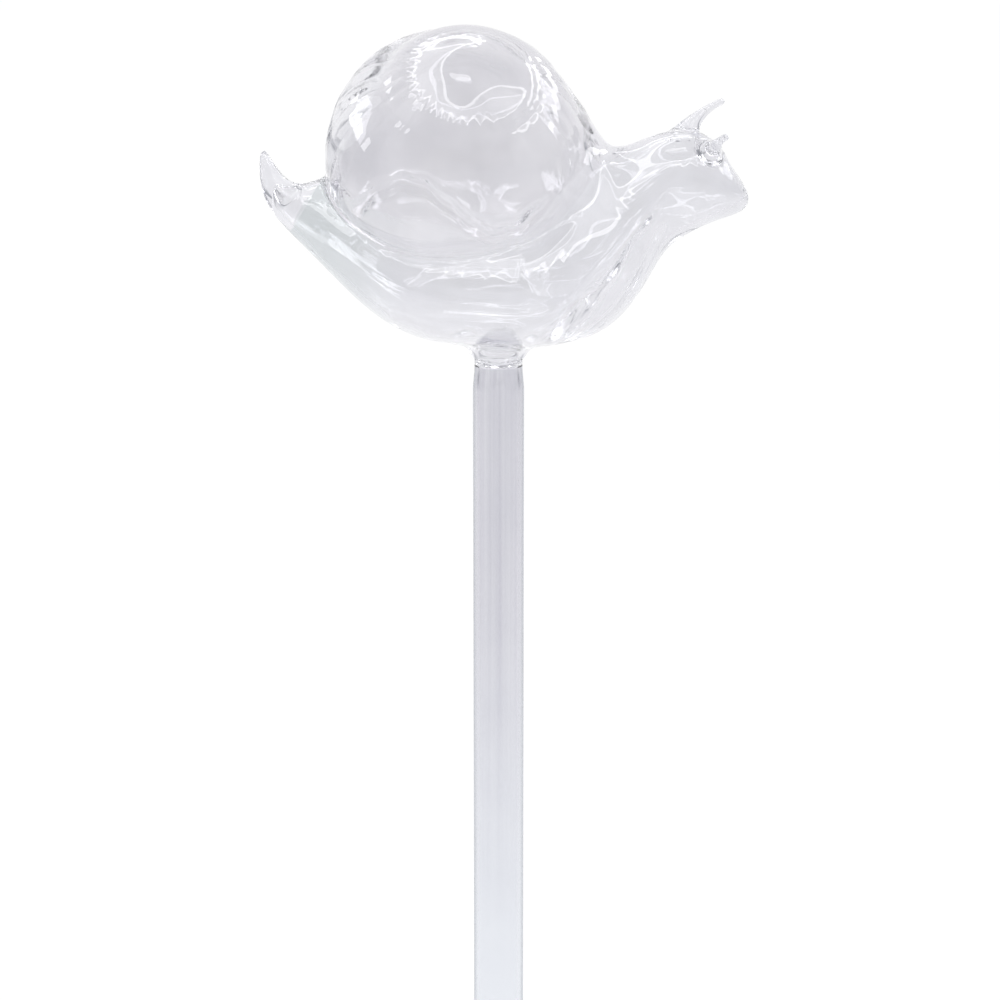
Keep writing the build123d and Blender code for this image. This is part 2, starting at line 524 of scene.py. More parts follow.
@dataclass
class BodyForm:
    """The boat-shaped body with its head and tail, from the tail's tip to the nose.

    A span gives the places along X where a form starts, is full, starts to end and has ended.
    """

    keel: float = 193.7
    fair_step: float = 0.5
    smoothing: float = 1.6
    overrun: float = 10.0
    least_flat: float = 0.2
    ledge_height: float = 4.9
    ledge_melt: float = 1.1
    ledge_far: float = 30.0
    ledge_span: tuple[float, ...] = (-50.0, -45.0, 4.0, 24.0)
    ledge_pitches: tuple[tuple[float, ...], ...] = (
        (-44.0, -39.0, -33.0, -23.0, -2.0),
        (56.0, 62.0, 60.0, 47.0, 66.0),
    )
    lip_x: float = -18.0
    lip_round: float = 6.0
    lip_tilt: float = 0.03
    lip_fall: float = 0.09
    dip_x: float = -34.0
    dip_depth: float = 0.8
    dip_width: float = 6.0
    gunwale_height: float = 0.4
    gunwale_width: float = 2.6
    chine_x: float = -40.0
    chine_up: float = -0.8
    chine_fall: float = 0.045
    chine_height: float = 0.45
    chine_width: float = 1.0
    strake_span: tuple[float, ...] = (-50.0, -42.0, 22.0, 34.0)
    folds: float = 14.0
    fold_height: float = 0.2
    fold_reach: float = 14.0
    throat_wall: float = 2.2
    throat_spot: tuple[float, float] = (15.0, 2.0)
    throat_ahead: tuple[float, float] = (0.72, 0.69)
    throat_rise: tuple[float, float] = (-9.0, -3.0)
    throat_span: tuple[float, ...] = (8.0, 24.0, 34.0, 50.0)
    stations: tuple[Station, ...] = (
        Station(-54.0, 45.1, -79.0, 0.0, 0.0, 0.0),
        Station(-52.9, 40.3, -76.0, 2.2, 2.1, 2.0),
        Station(-50.0, 35.0, -53.0, 4.0, 4.0, 4.0),
        TAIL_ROOT,
        Station(-39.0, 28.0, -32.0, 10.6, 11.0, 7.9),
        Station(-34.0, 25.0, -31.0, 14.4, 13.0, 9.4),
        Station(-26.6, 20.0, -28.0, 19.0, 15.0, 11.2),
        Station(-16.5, 16.8, -14.0, 23.8, 17.0, 14.6),
        Station(-4.5, 16.1, -3.0, 26.0, 18.0, 15.9),
        Station(8.0, 16.2, 4.0, 25.8, 18.5, 16.3),
        Station(20.0, 20.3, 20.0, 21.5, 21.0, 16.7),
        Station(28.5, 27.0, 32.0, 15.5, 18.0, 12.4),
        Station(35.4, 35.2, 32.0, 11.6, 11.7, 12.1),
        Station(39.3, 36.9, 25.0, 10.9, 12.4, 11.7),
        Station(43.2, 38.2, 17.0, 10.5, 11.9, 11.2),
        Station(49.4, 38.5, 4.0, 9.3, 9.8, 9.6),
        Station(55.3, 35.4, 8.0, 4.6, 4.2, 4.2),
        Station(57.5, 34.5, 8.0, 0.0, 0.0, 0.0),
    )
    track: Track = field(init=False)
    guesses: Array = field(init=False)
    guess_low: Array = field(init=False)
    guess_step: float = 1.5
    guess_box: tuple[tuple[float, float], ...] = ((-64.0, 70.0), (-12.0, 84.0))

    def __post_init__(self) -> None:
        """Fairs the stations into smooth curves along the spine."""
        rows = []
        for s in self.stations:
            full = s if s.half_width else self.stations[1 if s is self.stations[0] else -2]
            up, down = (full.half_width / full.rise) ** 2, (full.half_width / full.drop) ** 2
            rows.append([s.x, s.height, math.radians(s.pitch), s.half_width**2, up, down])
        values = np.array(rows)
        chord = np.concatenate([[0.0], np.cumsum(np.hypot(*np.diff(values[:, :2], axis=0).T))])
        bends = natural_bends(chord, values)
        step = self.fair_step
        place = np.arange(0.0, chord[-1] + step / 2, step)
        span = np.clip(np.searchsorted(chord, place, "right") - 1, 0, len(chord) - 2)
        gap = (chord[span + 1] - chord[span])[:, None]
        b = (place - chord[span])[:, None] / gap
        fine = cubic(b, (values[span], values[span + 1]), (bends[span], bends[span + 1]), gap)
        pad = round(self.overrun / step)
        reach = round(3 * self.smoothing / step)
        for extra in (pad, reach):
            before, after = fine[extra:0:-1], fine[-2 : -extra - 2 : -1]
            fine = np.concatenate([2 * fine[0] - before, fine, 2 * fine[-1] - after])
        kernel = np.exp(-0.5 * (np.arange(-reach, reach + 1) * step / self.smoothing) ** 2)
        kernel /= kernel.sum()
        faired = np.stack([np.convolve(column, kernel, "valid") for column in fine.T], 1)
        faired[:, 4:] = np.maximum(faired[:, 4:], self.least_flat)
        self.track = Track(-pad * step, 2 * step, faired[::2])
        self.make_guesses()

    def make_guesses(self) -> None:
        """Tables a first guess of the place along the spine for points around the body."""
        last = self.track.start + self.track.step * (len(self.track.knots) - 1)
        place = np.arange(self.track.start, last, self.fair_step)
        value, _ = self.track.at(place)
        ahead = np.stack([np.cos(value[:, 2]), np.sin(value[:, 2])], 1)
        self.guess_low = np.array([low for low, _ in self.guess_box])
        axes = [np.arange(low, high, self.guess_step) for low, high in self.guess_box]
        spots = np.stack(np.meshgrid(*axes, indexing="ij"), -1)[:, :, None] - value[:, :2]
        along = (spots * ahead).sum(-1)
        off = np.abs(spots[..., 1] * ahead[:, 0] - spots[..., 0] * ahead[:, 1])
        wide = np.sqrt(np.maximum(value[:, 3], 0.0))
        passed = (along[..., :-1] >= 0) & (along[..., 1:] < 0)
        cost = np.where(passed, (off - wide)[..., :-1], np.inf)
        nearest = np.where(passed.any(-1), cost.argmin(-1), np.abs(along).argmin(-1))
        self.guesses = place[nearest]

    def along(self, points: Array) -> Array:
        """Finds the place along the spine whose cross-section holds each point.

        Args:
            points: The points, in millimetres.

        Returns:
            Distances along the spine from the tail's tip.
        """
        spots = np.stack([points[:, 0], points[:, 2] - self.keel], 1)
        cell = np.rint((spots - self.guess_low) / self.guess_step).astype(int)
        cell = np.clip(cell, 0, np.array(self.guesses.shape) - 1)
        place = self.guesses[cell[:, 0], cell[:, 1]]
        first = self.track.start
        last = first + self.track.step * (len(self.track.knots) - 1)
        for _ in range(4):
            value, slope = self.track.at(place, slice(0, 3))
            ahead = np.stack([np.cos(value[:, 2]), np.sin(value[:, 2])], 1)
            across = np.stack([-ahead[:, 1], ahead[:, 0]], 1)
            arm = spots - value[:, :2]
            miss = (arm * ahead).sum(1)
            rate = (arm * across).sum(1) * slope[:, 2] - (slope[:, :2] * ahead).sum(1)
            place = np.clip(place - np.clip(miss / np.minimum(rate, -0.2), -2.0, 2.0), first, last)
        return place

    def distance(self, points: Array, place: Array | None = None) -> Array:
        """Distance from the body's skin, below zero inside.

        Args:
            points: The points, in millimetres.
            place: Their places along the spine, where these are known.

        Returns:
            The distances.
        """
        x, y = points[:, 0], points[:, 1]
        place = self.along(points) if place is None else place
        value, slope = self.track.at(place)
        arm_x, arm_z = x - value[:, 0], points[:, 2] - self.keel - value[:, 1]
        up = arm_z * np.cos(value[:, 2]) - arm_x * np.sin(value[:, 2])
        flat = np.where(up > 0, value[:, 4], value[:, 5])
        gap = y**2 + flat * up**2 - value[:, 3]
        rate = np.sqrt(4 * y**2 + 4 * (flat * up) ** 2 + slope[:, 3] ** 2 + 0.5)
        lip = self.lip(x)
        edge = np.sqrt(np.maximum(value[:, 3] - value[:, 4] * lip**2, 0.0))
        pitch = np.radians(np.interp(x, *self.ledge_pitches))
        ledge = (np.abs(y) - edge) * np.sin(pitch) + (up - lip) * np.cos(pitch)
        ledge = ledge - self.ledge_far * (1 - within(x, self.ledge_span))
        return -melt(-gap / rate, -ledge, self.ledge_melt) - self.strakes(x, up)

    def lip(self, x: Array) -> Array:
        """Height of the ledge's lip above the spine, which falls away to both ends.

        Args:
            x: Places along the part.

        Returns:
            The heights.
        """
        out = x - self.lip_x
        fall = self.lip_tilt * out + self.lip_fall * np.sqrt(out**2 + self.lip_round**2)
        dip = self.dip_depth * np.exp(-(((x - self.dip_x) / self.dip_width) ** 2))
        return self.ledge_height - fall - dip

    def strakes(self, x: Array, up: Array) -> Array:
        """Soft ridges along the gunwale and the chine, which end at the tail and at the throat.

        Args:
            x: Places along the part.
            up: Heights above the spine.

        Returns:
            How far the skin stands out.
        """
        chine = self.chine_up - self.chine_fall * (x - self.chine_x)
        upper = self.gunwale_height * np.exp(-(((up - self.lip(x)) / self.gunwale_width) ** 2) / 2)
        lower = self.chine_height * np.exp(-(((up - chine) / self.chine_width) ** 2) / 2)
        return (upper + lower) * within(x, self.strake_span)

    def throat(self, points: Array) -> Array:
        """The throat's thicker wall, with folds that the flame left inside it.

        Args:
            points: The points, in millimetres.

        Returns:
            How far the inner skin is lifted.
        """
        x, height = points[:, 0], points[:, 2] - self.keel
        (side_x, side_z), (spot_x, spot_z) = self.throat_ahead, self.throat_spot
        ahead = side_x * (x - spot_x) - side_z * (height - spot_z)
        shown = ease(ahead, *self.throat_rise) * within(x, self.throat_span)
        fold = np.cos(self.folds * np.arctan2(points[:, 1], np.maximum(ahead + self.fold_reach, 1.0)))
        return shown * (self.throat_wall + self.fold_height * fold)


@dataclass
class ShellForm:
    """The spiral shell bulb, with whorls between its sutures and ribs down its slopes.

    A span gives the angles from the spire, in degrees, where a form starts, is full, fades and ends.
    """

    radius: float = 31.0
    centre: tuple[float, float, float] = (-8.8, 0.0, 237.0)
    tilt: float = 40.6
    lean: float = 7.4
    suture_share: float = 0.477
    suture_growth: float = 1.89
    suture_round: float = 0.03
    least_sine: float = 0.08
    whorl_depth: float = 1.5
    whorl_sine: float = 0.7
    whorl_span: tuple[float, ...] = (25.0, 33.0, 66.0, 86.0)
    whorl_calm: float = 0.9
    calm_width: float = 0.75
    foot_depth: float = 2.0
    foot_drop: tuple[float, float] = (9.0, 20.0)
    eye_radius: float = 6.0
    eye_bead: float = 0.1
    eye_width: float = 1.8
    ribs: int = 28
    rib_slope: float = 0.14
    rib_span: tuple[float, ...] = (24.0, 32.0, 120.0, 150.0)
    rib_bare: tuple[float, float] = (24.0, 34.0)
    rib_soft: tuple[float, float] = (50.0, 75.0)
    rib_softness: float = 0.5
    front_width: float = 0.85
    back_width: float = 1.0
    lobe_round: float = 0.02
    lobe_level: float = 0.65
    axes: Array = field(init=False)

    def __post_init__(self) -> None:
        """Works out the spire's direction and the two square to it."""
        tilt, lean = math.radians(self.tilt), math.radians(self.lean)
        upright = np.array([0.0, -math.sin(tilt), math.cos(tilt)])
        spire = np.array([upright[2] * math.sin(lean), upright[1], upright[2] * math.cos(lean)])
        headward = np.cross([0.0, 1.0, 0.0], spire)
        headward /= np.linalg.norm(headward)
        self.axes = np.stack([headward, np.cross(spire, headward), spire], 1)

    def distance(self, points: Array, relief: float = 1.0) -> Array:
        """Distance from the shell's skin, below zero inside.

        Args:
            points: The points, in millimetres.
            relief: Share of the whorls and ribs that shows.

        Returns:
            The distances.
        """
        arm = (points - np.array(self.centre)) @ self.axes
        distance = np.maximum(np.linalg.norm(arm, axis=1), 1e-6)
        polar = np.arccos(np.clip(arm[:, 2] / distance, -1.0, 1.0))
        angle = np.arctan2(arm[:, 1], arm[:, 0])
        sine = np.sin(polar)
        degrees = np.degrees(polar)
        phase = np.log(np.maximum(sine, self.least_sine) / self.suture_share) / math.log(self.suture_growth)
        phase = phase + angle / (2 * math.pi)
        crest = np.sqrt(np.sin(math.pi * phase) ** 2 + self.suture_round)
        aside, behind = angle + math.pi / 2, angle - math.pi / 2
        shown = within(degrees, self.whorl_span)
        shown = shown * (1 - self.whorl_calm * np.exp(-((aside / self.calm_width) ** 2)))
        whorl = self.whorl_depth * sine / self.whorl_sine * (crest - 1.0) * shown
        reach = polar * self.radius
        eye = self.eye_bead * np.exp(-(((reach - self.eye_radius) / self.eye_width) ** 2) / 2)
        bare = np.exp(-((aside / self.front_width) ** 2)) + np.exp(-((behind / self.back_width) ** 2))
        slope = self.rib_slope * within(degrees, self.rib_span)
        slope = slope * (1 - np.minimum(bare, 1.0) * ease(degrees, *self.rib_bare))
        slope = slope * (1 - self.rib_softness * ease(degrees, *self.rib_soft))
        lobe = np.sqrt(np.cos(self.ribs * angle / 2) ** 2 + self.lobe_round) - self.lobe_level
        rib = slope * self.radius * sine * 2 / self.ribs * lobe
        foot = self.foot_depth * ease(self.centre[2] - points[:, 2], *self.foot_drop)
        return distance - self.radius + foot - relief * (whorl + eye + rib)


@dataclass(frozen=True)
class HornForm:
    """One drawn horn, from its root in the head, past a bend, to its tip."""

    route: tuple[tuple[float, float, float], ...]
    keel: float = 193.7
    root_radius: float = 4.4
    tip_radius: float = 0.8
    flare: float = 2.8
    seat_radius: float = 3.2
    seat_share: float = 0.2
    margin: float = 7.0
    far_away: float = 50.0

    def corners(self) -> Array:
        """The root, the bend and the tip, in the part's frame."""
        return np.array(self.route) + np.array([0.0, 0.0, self.keel])

    def at(self, share: Array) -> Array:
        """Points along the horn's middle, at shares of the way to its tip."""
        (root, bend, tip), t = self.corners(), share[:, None]
        return (1 - t) ** 2 * root + 2 * t * (1 - t) * bend + t**2 * tip

    def seat(self, points: Array) -> Array:
        """Distance from the round lump that the horn's root leaves inside the head."""
        return np.linalg.norm(points - self.at(np.array([self.seat_share])), axis=1) - self.seat_radius

    def distance(self, points: Array) -> Array:
        """Distance from the horn's skin, below zero inside, and far away a large number.

        Args:
            points: The points, in millimetres.

        Returns:
            The distances.
        """
        corners = self.corners()
        root, bend, tip = corners
        reach = self.margin + self.root_radius
        near = np.all((points > corners.min(0) - reach) & (points < corners.max(0) + reach), axis=1)
        result = np.full(len(points), self.far_away)
        spots = points[near]
        if not len(spots):
            return result
        tries = np.linspace(0, 1, 17)
        share = tries[np.linalg.norm(spots[:, None] - self.at(tries), axis=2).argmin(1)]
        turn = 2 * (tip - 2 * bend + root)
        for _ in range(4):
            t = share[:, None]
            arm = self.at(share) - spots
            slope = 2 * ((1 - t) * (bend - root) + t * (tip - bend))
            rate = (slope**2).sum(1) + (arm * turn).sum(1)
            share = np.clip(share - (arm * slope).sum(1) / np.maximum(rate, 1.0), 0, 1)
        radius = self.tip_radius + (self.root_radius - self.tip_radius) * (1 - share) ** self.flare
        result[near] = np.linalg.norm(spots - self.at(share), axis=1) - radius
        return result


def waver(points: Array, depth: float, length: float, shift: float) -> Array:
    """Slow waves of hand-blown glass.

    Args:
        points: The points, in millimetres.
        depth: Height of the waves.
        length: Length of the waves.
        shift: Where the waves start.

    Returns:
        The height of the waves at each point.
    """
    turns = points * (2 * math.pi / length)
    x, y, z = turns[:, 0], turns[:, 1], turns[:, 2]
    first = np.sin(x + 1.3 * np.sin(0.7 * z + shift) + shift)
    second = np.sin(1.1 * y + 1.1 * np.sin(0.8 * x + 2 * shift) + 0.6 * z)
    return depth * (first + second + np.sin(1.2 * z + np.sin(0.9 * y) + 3 * shift)) / 3


@dataclass
class Sheet:
    """One skin of a piece, with the direction of its glass and its finish."""

    points: Array
    faces: Array
    normals: Array
    material: bpy.types.Material


def dress(name: str, sheets: list[Sheet]) -> None:
    """Makes a piece of its skins, sets it in place of its solid and lets it ride.

    Args:
        name: The node that the piece stands for.
        sheets: The skins of the piece.
    """
    points, faces, finish = [], [], []
    for number, sheet in enumerate(sheets):
        faces += (sheet.faces + sum(len(p) for p in points)).tolist()
        finish += [number] * len(sheet.faces)
        points.append(sheet.points)
    mesh = bpy.data.meshes.new(name + "_skin")
    mesh.from_pydata((np.concatenate(points) * MM).tolist(), [], faces)
    mesh.polygons.foreach_set("use_smooth", [True] * len(faces))
    mesh.polygons.foreach_set("material_index", finish)
    normals = np.concatenate([sheet.normals for sheet in sheets])
    mesh.normals_split_custom_set_from_vertices(normals.tolist())
    for sheet in sheets:
        mesh.materials.append(sheet.material)
    piece = bpy.data.objects.new(name + "_glass", mesh)
    bpy.context.scene.collection.objects.link(piece)
    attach(piece, "root")
    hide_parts(name)
    LOG.info("%s: %d points, %d faces", piece.name, len(mesh.vertices), len(faces))


@dataclass
class Vessel:
    """The blown and lampworked snail: shell, body, tail and horns, with one cavity.

    Waves of the glass are given by their height, their length and where they start.
    """

    collar_z: float = 190.4
    collar_radius: float = 5.6
    collar_bore: float = 4.2
    collar_top: float = 201.0
    shell_wall: float = 1.5
    body_wall: float = 1.4
    tail_wall: float = 5.0
    tail_hollow: tuple[float, float] = (-11.0, -3.0)
    shell_melt: float = 2.5
    nape_melt: float = 18.3
    nape_x: tuple[float, float] = (-5.0, 20.0)
    nape_y: tuple[float, float] = (6.0, 20.0)
    horn_melt: float = 2.4
    seat_melt: float = 1.2
    collar_melt: float = 9.0
    hull_waves: tuple[float, ...] = (0.08, 17.0, 0.4)
    bulb_waves: tuple[float, ...] = (0.06, 15.0, 1.9)
    hull_inner_waves: tuple[float, ...] = (0.12, 14.0, 2.7)
    bulb_inner_waves: tuple[float, ...] = (0.12, 13.0, 0.9)
    inner_relief: float = 0.45
    line_z: float = 229.8
    line_swing: float = 5.8
    line_crest_x: float = -20.0
    line_length: float = 40.0
    line_ripple: float = 0.3
    line_height: float = 0.8
    line_width: float = 1.4
    line_span: tuple[float, ...] = (-33.0, -29.0, 6.0, 14.0)
    cell: float = 0.9
    room: tuple[tuple[float, float], ...] = ((-58.0, 60.0), (-34.5, 34.5))
    room_top: float = 271.0
    body: BodyForm = field(default_factory=BodyForm)
    shell: ShellForm = field(default_factory=ShellForm)
    far_horn: HornForm = HornForm(
        ((41.5, 4.0, 45.0), (44.5, 5.0, 52.8), (51.4, 7.0, 55.4)), root_radius=4.8, flare=2.2
    )
    near_horn: HornForm = HornForm(((47.8, -2.6, 43.6), (49.6, -10.2, 48.8), (51.0, -15.5, 50.2)))

    def hull(self, points: Array) -> Array:
        """The body's outside with the slow waves of the glass."""
        return self.body.distance(points) + waver(points, *self.hull_waves)

    def bulb(self, points: Array) -> Array:
        """The shell's outside with the slow waves of the glass."""
        return self.shell.distance(points) + waver(points, *self.bulb_waves)

    def post(self, points: Array, radius: float) -> Array:
        """An upright cylinder through the collar, ended inside the body.

        Args:
            points: The points, in millimetres.
            radius: Its radius.

        Returns:
            The distances.
        """
        return np.maximum(np.hypot(points[:, 0], points[:, 1]) - radius, points[:, 2] - self.collar_top)

    def bare(self, points: Array) -> Array:
        """The outside without its horns."""
        joined = melt(self.bulb(points), self.hull(points), self.fillet(points))
        return melt(joined, self.post(points, self.collar_radius), self.collar_melt)


    def fillet(self, points: Array) -> Array:
        """Reach of the fillet between shell and body, wider along the nape."""
        nape = ease(points[:, 0], *self.nape_x) * (1 - ease(np.abs(points[:, 1]), *self.nape_y))
        return self.shell_melt + (self.nape_melt - self.shell_melt) * nape

    def horns(self, points: Array) -> tuple[Array, Array]:
        """Distances from the far and the near horn."""
        return self.far_horn.distance(points), self.near_horn.distance(points)

    def outside(self, points: Array) -> Array:
        """The whole outside."""
        far, near = self.horns(points)
        return melt(self.bare(points), np.minimum(far, near), self.horn_melt)

    def hull_inside(self, points: Array) -> Array:
        """The body's share of the cavity, which runs to a point in the tail.

        Args:
            points: The points, in millimetres.

        Returns:
            The distances.
        """
        place = self.body.along(points)
        room = self.body.distance(points, place) + self.body_wall + waver(points, *self.hull_inner_waves)
        start, end = (self.tail_root() + offset for offset in self.tail_hollow)
        return room + self.body.throat(points) + self.tail_wall * (1 - ease(place, start, end))

    def bulb_inside(self, points: Array) -> Array:
        """The shell's share of the cavity, with softer relief and the gather's wavy line.

        Args:
            points: The points, in millimetres.

        Returns:
            The distances.
        """
        room = self.shell.distance(points, self.inner_relief) + self.shell_wall
        room = room + waver(points, *self.bulb_inner_waves)
        x, y, z = points.T
        swing = self.line_swing * np.cos(2 * math.pi * (x - self.line_crest_x) / self.line_length)
        line = self.line_z + swing + self.line_ripple * np.sin(1.1 * x)
        shown = within(x, self.line_span) * (y < 0)
        return room + self.line_height * shown * np.exp(-(((z - line) / self.line_width) ** 2) / 2)

    def inside(self, points: Array) -> Array:
        """The cavity.

        Args:
            points: The points, in millimetres.

        Returns:
            The distances.
        """
        joined = melt(self.bulb_inside(points), self.hull_inside(points), self.fillet(points))
        joined = melt(joined, self.post(points, self.collar_bore), self.collar_melt)
        seats = np.minimum(self.far_horn.seat(points), self.near_horn.seat(points))
        return -melt(-joined, seats, self.seat_melt)

    def tail_root(self) -> float:
        """Place of the tail's seam along the spine."""
        spot = np.array([[TAIL_ROOT.x, 0.0, TAIL_ROOT.height + self.body.keel]])
        return float(self.body.along(spot)[0])

    def skin(self, form: Field, radius: float, fine: bool) -> Skin:
        """Skins a field down to the collar's lower edge.

        Args:
            form: The field.
            radius: The radius of the lower edge.
            fine: Whether the net is split once more.

        Returns:
            The skin.
        """
        below = self.collar_z - self.cell / 2
        low, high = (np.array(corner) for corner in zip(*self.room, (below, self.room_top)))
        points, quads = quad_net(form, low, high, self.cell)
        held = points[:, 2] < self.collar_z + self.cell / 4
        for _ in range(3):
            points = self.edged(settle(form, relax(points, quads, held), 1, self.cell), held, radius)
        if fine:
            points, quads, held = quarter(points, quads, held)
            points = self.edged(settle(form, points, 1, self.cell), held, radius)
        return Skin(points, np.concatenate([quads[:, [0, 1, 2]], quads[:, [0, 2, 3]]]))

    def edged(self, points: Array, held: Array, radius: float) -> Array:
        """Puts the lowest points onto the round edge of the collar.

        Args:
            points: The points.
            held: Which points lie on the edge.
            radius: The edge's radius.

        Returns:
            The points with their edge in place.
        """
        edge = points[held]
        edge[:, :2] *= (radius / np.hypot(edge[:, 0], edge[:, 1]))[:, None]
        edge[:, 2] = self.collar_z
        points[held] = edge
        return points

    def build(self) -> None:
        """Skins the vessel, cuts it into its pieces and dresses them."""
        drawn, clear = DRAWN_GLASS.make(), INNER_SKIN.make()
        outer = self.skin(self.outside, self.collar_radius, True)
        far, near = self.horns(outer.points)
        horn, rest = outer.cut(np.minimum(far, near) - self.bare(outer.points))
        apart = self.horns(horn.points)
        far_skin, near_skin = horn.cut(apart[0] - apart[1])
        tail, rest = rest.cut(self.body.along(rest.points) - self.tail_root())
        bulb, hull = rest.cut(self.bulb(rest.points) - self.hull(rest.points))
        inner = self.skin(lambda p: -self.inside(p), self.collar_bore, False)
        bulb_in, hull_in = inner.cut(self.bulb_inside(inner.points) - self.hull_inside(inner.points))
        for name, skin in (("tail_tip", tail), ("horn_far", far_skin), ("horn_near", near_skin)):
            skin = skin.finer(self.outside)
            sheet = Sheet(skin.points, skin.faces, gradient(self.outside, skin.points), drawn)
            dress(name, [sheet])
        for name, out, back, blown in (
            ("shell_bulb", bulb, bulb_in, BLOWN_SHELL.make()),
            ("snail_body", hull, hull_in, BLOWN_BODY.make()),
        ):
            outer_sheet = Sheet(out.points, out.faces, gradient(self.outside, out.points), blown)
            inner_sheet = Sheet(back.points, back.faces, -gradient(self.inside, back.points), clear)
            dress(name, [outer_sheet, inner_sheet])


def turned(profile: list[tuple[float, float]], segments: int) -> tuple[Array, Array, Array]:
    """Turns a profile round the stem's axis.

    Args:
        profile: Radius and height, glass on the left as the profile runs.
        segments: Number of segments round the axis.

    Returns:
        Points, quads and normals.
    """
    line = np.array(profile)
    ahead = np.gradient(line, axis=0)
    ahead /= np.linalg.norm(ahead, axis=1, keepdims=True)
    angle = np.arange(segments) * 2 * math.pi / segments
    ring = np.stack([np.cos(angle), np.sin(angle), np.ones(segments)], 1)
    points = line[:, None, [0, 0, 1]] * ring
    normals = np.stack([ahead[:, 1], ahead[:, 1], -ahead[:, 0]], 1)[:, None] * ring
    i, j = np.meshgrid(np.arange(len(line) - 1), np.arange(segments), indexing="ij")
    after = (j + 1) % segments
    corners = [i * segments + j, i * segments + after, (i + 1) * segments + after, (i + 1) * segments + j]
    return points.reshape(-1, 3), np.stack(corners, -1).reshape(-1, 4), normals.reshape(-1, 3)


@dataclass
class Stem:
    """The open stem tube and the weld ring that joins it to the collar."""

    outside: float = 6.0
    bore: float = 4.8
    length: float = 188.6
    shoulder: float = 6.0
    waist: float = 5.6
    weld_height: float = 1.8
    weld_bore: float = 3.2
    narrowing: float = 0.4
    bead_power: float = 0.8
    groove: float = 0.22
    groove_places: tuple[float, float] = (0.12, 0.88)
    groove_width: float = 0.09
    collar_bore: float = 4.2
    mouth_round: float = 0.4
    segments: int = 128

    def tube_profiles(self) -> list[list[tuple[float, float]]]:
        """The tube's two open profiles.

        Returns:
            The lip and the outside, going up, and the bore, going down.
        """
        rise = np.linspace(0, 1, 13)[1:]
        bend, top = ease(rise, 0.0, 1.0), self.length - self.shoulder * (1 - rise)
        below, r = self.length - self.shoulder, self.mouth_round
        inner = list(zip(self.bore - self.narrowing * bend, top))[::-1]
        inner += [(self.bore, z) for z in np.linspace(below, r, 60)]
        steps = np.linspace(0, math.pi / 2, 7)
        lip = [(self.bore + r - r * math.cos(a), r - r * math.sin(a)) for a in steps]
        lip += [(self.outside - r + r * math.sin(a), r - r * math.cos(a)) for a in steps]
        straight = [(self.outside, z) for z in np.linspace(r * 1.6, below, 60)]
        drawn_in = list(zip(self.outside - (self.outside - self.waist) * bend, top))
        return [lip + straight + drawn_in, inner]

    def weld_profiles(self) -> list[list[tuple[float, float]]]:
        """The ring's two open profiles.

        Returns:
            The outside, going up, and the bead inside, going down.
        """
        outer, bead = [], []
        for t in np.linspace(0, 1, 33):
            groove = sum(math.exp(-(((t - spot) / self.groove_width) ** 2)) for spot in self.groove_places)
            outer.append((self.waist - self.groove * groove, self.length + self.weld_height * t))
        for t in np.linspace(1, 0, 25):
            side = self.collar_bore if t > 0.5 else self.bore - self.narrowing
            swell = (0.5 - 0.5 * math.cos(2 * math.pi * t)) ** self.bead_power
            bead.append((side + (self.weld_bore - side) * swell, self.length + self.weld_height * t))
        return [outer, bead]

    def build(self) -> None:
        """Turns and dresses the tube and the ring."""
        clear = bpy.data.materials[INNER_SKIN.name]
        drawn = bpy.data.materials[DRAWN_GLASS.name]
        for name, profiles, outer, slot in (
            ("stem_tube", self.tube_profiles(), TUBE_GLASS.make(), Slot.TUBING),
            ("weld_ring", self.weld_profiles(), drawn, Slot.DRAWN),
        ):
            skins = zip(profiles, (outer, clear))
            sheets = [Sheet(*turned(line, self.segments), skin) for line, skin in skins]
            dress(name, sheets)


@dataclass(frozen=True)
class Softbox:
    """A long soft light that faces the shell's centre, from which its ends are placed."""

    name: str
    start: tuple[float, float, float]
    end: tuple[float, float, float]
    width: float
    radiance: float

    def build(self, target: Vector) -> None:
        """Hangs the light.

        Args:
            target: The shell's centre.
        """
        data = bpy.data.lights.new(self.name, "AREA")
        data.shape = "RECTANGLE"
        start, end = Vector(self.start), Vector(self.end)
        data.size, data.size_y = (end - start).length, self.width
        data.energy = self.radiance * 4 * data.size * data.size_y
        lamp = bpy.data.objects.new(self.name, data)
        middle = (start + end) / 2
        lamp.location = target + middle
        away = middle.normalized()
        side = (end - start) - away * (end - start).dot(away)
        side.normalize()
        lamp.rotation_euler = Matrix((side, away.cross(side), away)).transposed().to_euler()
        lamp.visible_camera = False
        bpy.context.scene.collection.objects.link(lamp)


